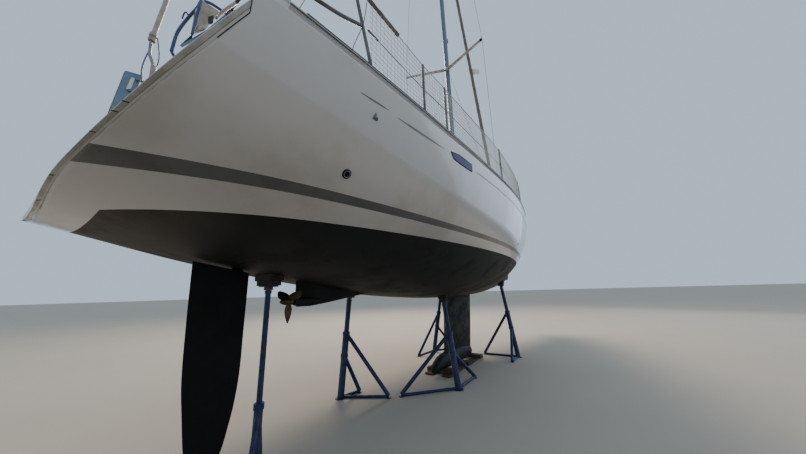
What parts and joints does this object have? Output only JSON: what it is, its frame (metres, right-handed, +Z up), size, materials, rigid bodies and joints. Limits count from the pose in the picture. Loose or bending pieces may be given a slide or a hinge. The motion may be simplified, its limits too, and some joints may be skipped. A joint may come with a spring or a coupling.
{
  "type": "sailing yacht hauled out on stands",
  "caption": "Sailing cruiser with fin keel, spade rudder, twin wheels, cabin, masthead rig and furled headsail, hauled out on timber blocking and steel stands.",
  "frame": {"origin": "on the ground, at mid-length on the centreline", "axes": "+X towards the bow, +Y to port, +Z up"},
  "size_m": [13.0468, 4.09, 19.16],
  "materials": {
    "topsides": "off-white gloss gelcoat topsides with a dark stripe, near-black antifouling below",
    "deck_gelcoat": "satin off-white moulded gelcoat",
    "deck_nonskid": "pale grey moulded non-skid",
    "glazing": "smoked acrylic",
    "teak": "oiled teak",
    "alloy": "anodised",
    "spar_alloy": "clear anodised spar, slightly weathered",
    "stainless": "polished stainless tube and wire",
    "galvanised": "dull galvanised",
    "bronze": "dull bronze",
    "antifoul": "matt near-black antifouling",
    "keel_paint": "worn grey-brown antifouling",
    "sail_cover": "grey-taupe sun strip of the furled headsail",
    "black_plastic": "moulded",
    "white_tube": "painted tube",
    "stand_blue": "worn blue paint on steel tube",
    "timber": "rough sawn softwood",
    "engine_grey": "plain block"
  },
  "bodies": {
    "yacht": {"hull": "topsides", "transom_moulding": "topsides", "deck": "deck_nonskid", "toe_rail": "alloy", "coachroof": "deck_gelcoat", "coachroof_window_port": "glazing", "coachroof_window_starboard": "glazing", "companionway_board": "glazing", "cockpit_tub": "deck_gelcoat", "coaming_port": "deck_gelcoat", "coaming_starboard": "deck_gelcoat", "pedestal_port": "deck_gelcoat", "pedestal_starboard": "deck_gelcoat", "cockpit_table": "teak", "engine": "engine_grey", "keel_bulb": "antifoul", "keel_fin": "keel_paint", "skeg": "antifoul", "mast": "spar_alloy", "spreaders_lower": "spar_alloy", "spreaders_upper": "spar_alloy", "gooseneck_bracket": "stainless", "furled_headsail": "sail_cover", "furler_drum": "black_plastic", "shrouds_port": "stainless", "shrouds_starboard": "stainless", "backstay": "stainless", "lifelines_port": "stainless", "pushpit_port": "stainless", "lifelines_starboard": "stainless", "pushpit_starboard": "stainless", "pulpit": "stainless", "bow_roller": "stainless", "anchor": "galvanised", "windlass": "alloy", "winch_port": "stainless", "winch_starboard": "stainless", "winch_roof_port": "stainless", "winch_roof_starboard": "stainless", "stern_pole": "white_tube", "stand_stern": "stand_blue", "stand_port_aft": "stand_blue", "stand_starboard_mid": "stand_blue", "stand_port_fore": "stand_blue", "stand_starboard_fore": "stand_blue", "keel_blocking": "timber"},
    "rudder": {"rudder": "antifoul"},
    "wheel_port": {"wheel_port": "stainless"},
    "wheel_starboard": {"wheel_starboard": "stainless"},
    "propeller": {"propeller": "bronze"},
    "boom": {"boom": "spar_alloy"},
    "companionway_hatch": {"companionway_hatch": "glazing"},
    "hatch_saloon": {"hatch_saloon": "glazing"},
    "hatch_forward": {"hatch_forward": "glazing"},
    "table_leaf_port": {"table_leaf_port": "teak"},
    "table_leaf_starboard": {"table_leaf_starboard": "teak"},
    "swim_ladder": {"swim_ladder": "stainless"},
    "stern_bench": {"stern_bench": "teak"}
  },
  "joints": [
    {"name": "rudder_turn", "type": "hinge", "parent": "yacht", "child": "rudder", "pos_m": [-5.18655, 0, 2.44], "axis": [0, 0, 1], "range_deg": [-35, 35]},
    {"name": "wheel_port_turn", "type": "hinge", "parent": "yacht", "child": "wheel_port", "pos_m": [-5.01655, 0.78, 3.54], "axis": [1, 0, 0], "range_deg": [-425, 425]},
    {"name": "wheel_starboard_turn", "type": "hinge", "parent": "yacht", "child": "wheel_starboard", "pos_m": [-5.01655, -0.78, 3.54], "axis": [1, 0, 0], "range_deg": [-425, 425]},
    {"name": "propeller_spin", "type": "hinge", "parent": "yacht", "child": "propeller", "pos_m": [-4.57655, 0, 1.65], "axis": [1, 0, 0], "continuous": true},
    {"name": "boom_swing", "type": "hinge", "parent": "yacht", "child": "boom", "pos_m": [0.73162, 0, 4.86], "axis": [0, 0, 1], "range_deg": [-65, 65]},
    {"name": "companionway_hatch_slide", "type": "slide", "parent": "yacht", "child": "companionway_hatch", "axis": [1, 0, 0], "range_m": [0, 0.6]},
    {"name": "hatch_saloon_lift", "type": "hinge", "parent": "yacht", "child": "hatch_saloon", "pos_m": [-0.30662, 0, 3.90207], "axis": [0, 1, 0], "range_deg": [0, 90]},
    {"name": "hatch_forward_lift", "type": "hinge", "parent": "yacht", "child": "hatch_forward", "pos_m": [2.09245, 0, 3.85274], "axis": [0, 1, 0], "range_deg": [0, 90]},
    {"name": "table_leaf_port_lift", "type": "hinge", "parent": "yacht", "child": "table_leaf_port", "pos_m": [-3.57655, 0.066, 3.32], "axis": [1, 0, 0], "range_deg": [0, 90]},
    {"name": "table_leaf_starboard_lift", "type": "hinge", "parent": "yacht", "child": "table_leaf_starboard", "pos_m": [-3.57655, -0.066, 3.32], "axis": [-1, 0, 0], "range_deg": [0, 90]},
    {"name": "swim_ladder_fold", "type": "hinge", "parent": "yacht", "child": "swim_ladder", "pos_m": [-6.44155, 0, 2.479], "axis": [0, -1, 0], "range_deg": [0, 235]},
    {"name": "stern_bench_lift", "type": "hinge", "parent": "yacht", "child": "stern_bench", "pos_m": [-5.65155, 0.49, 3.085], "axis": [-1, 0, 0], "range_deg": [0, 90]}
  ],
  "couplings": [
    {"joint": "wheel_port_turn", "follows": "rudder_turn", "ratio": 12},
    {"joint": "wheel_starboard_turn", "follows": "rudder_turn", "ratio": 12}
  ]
}
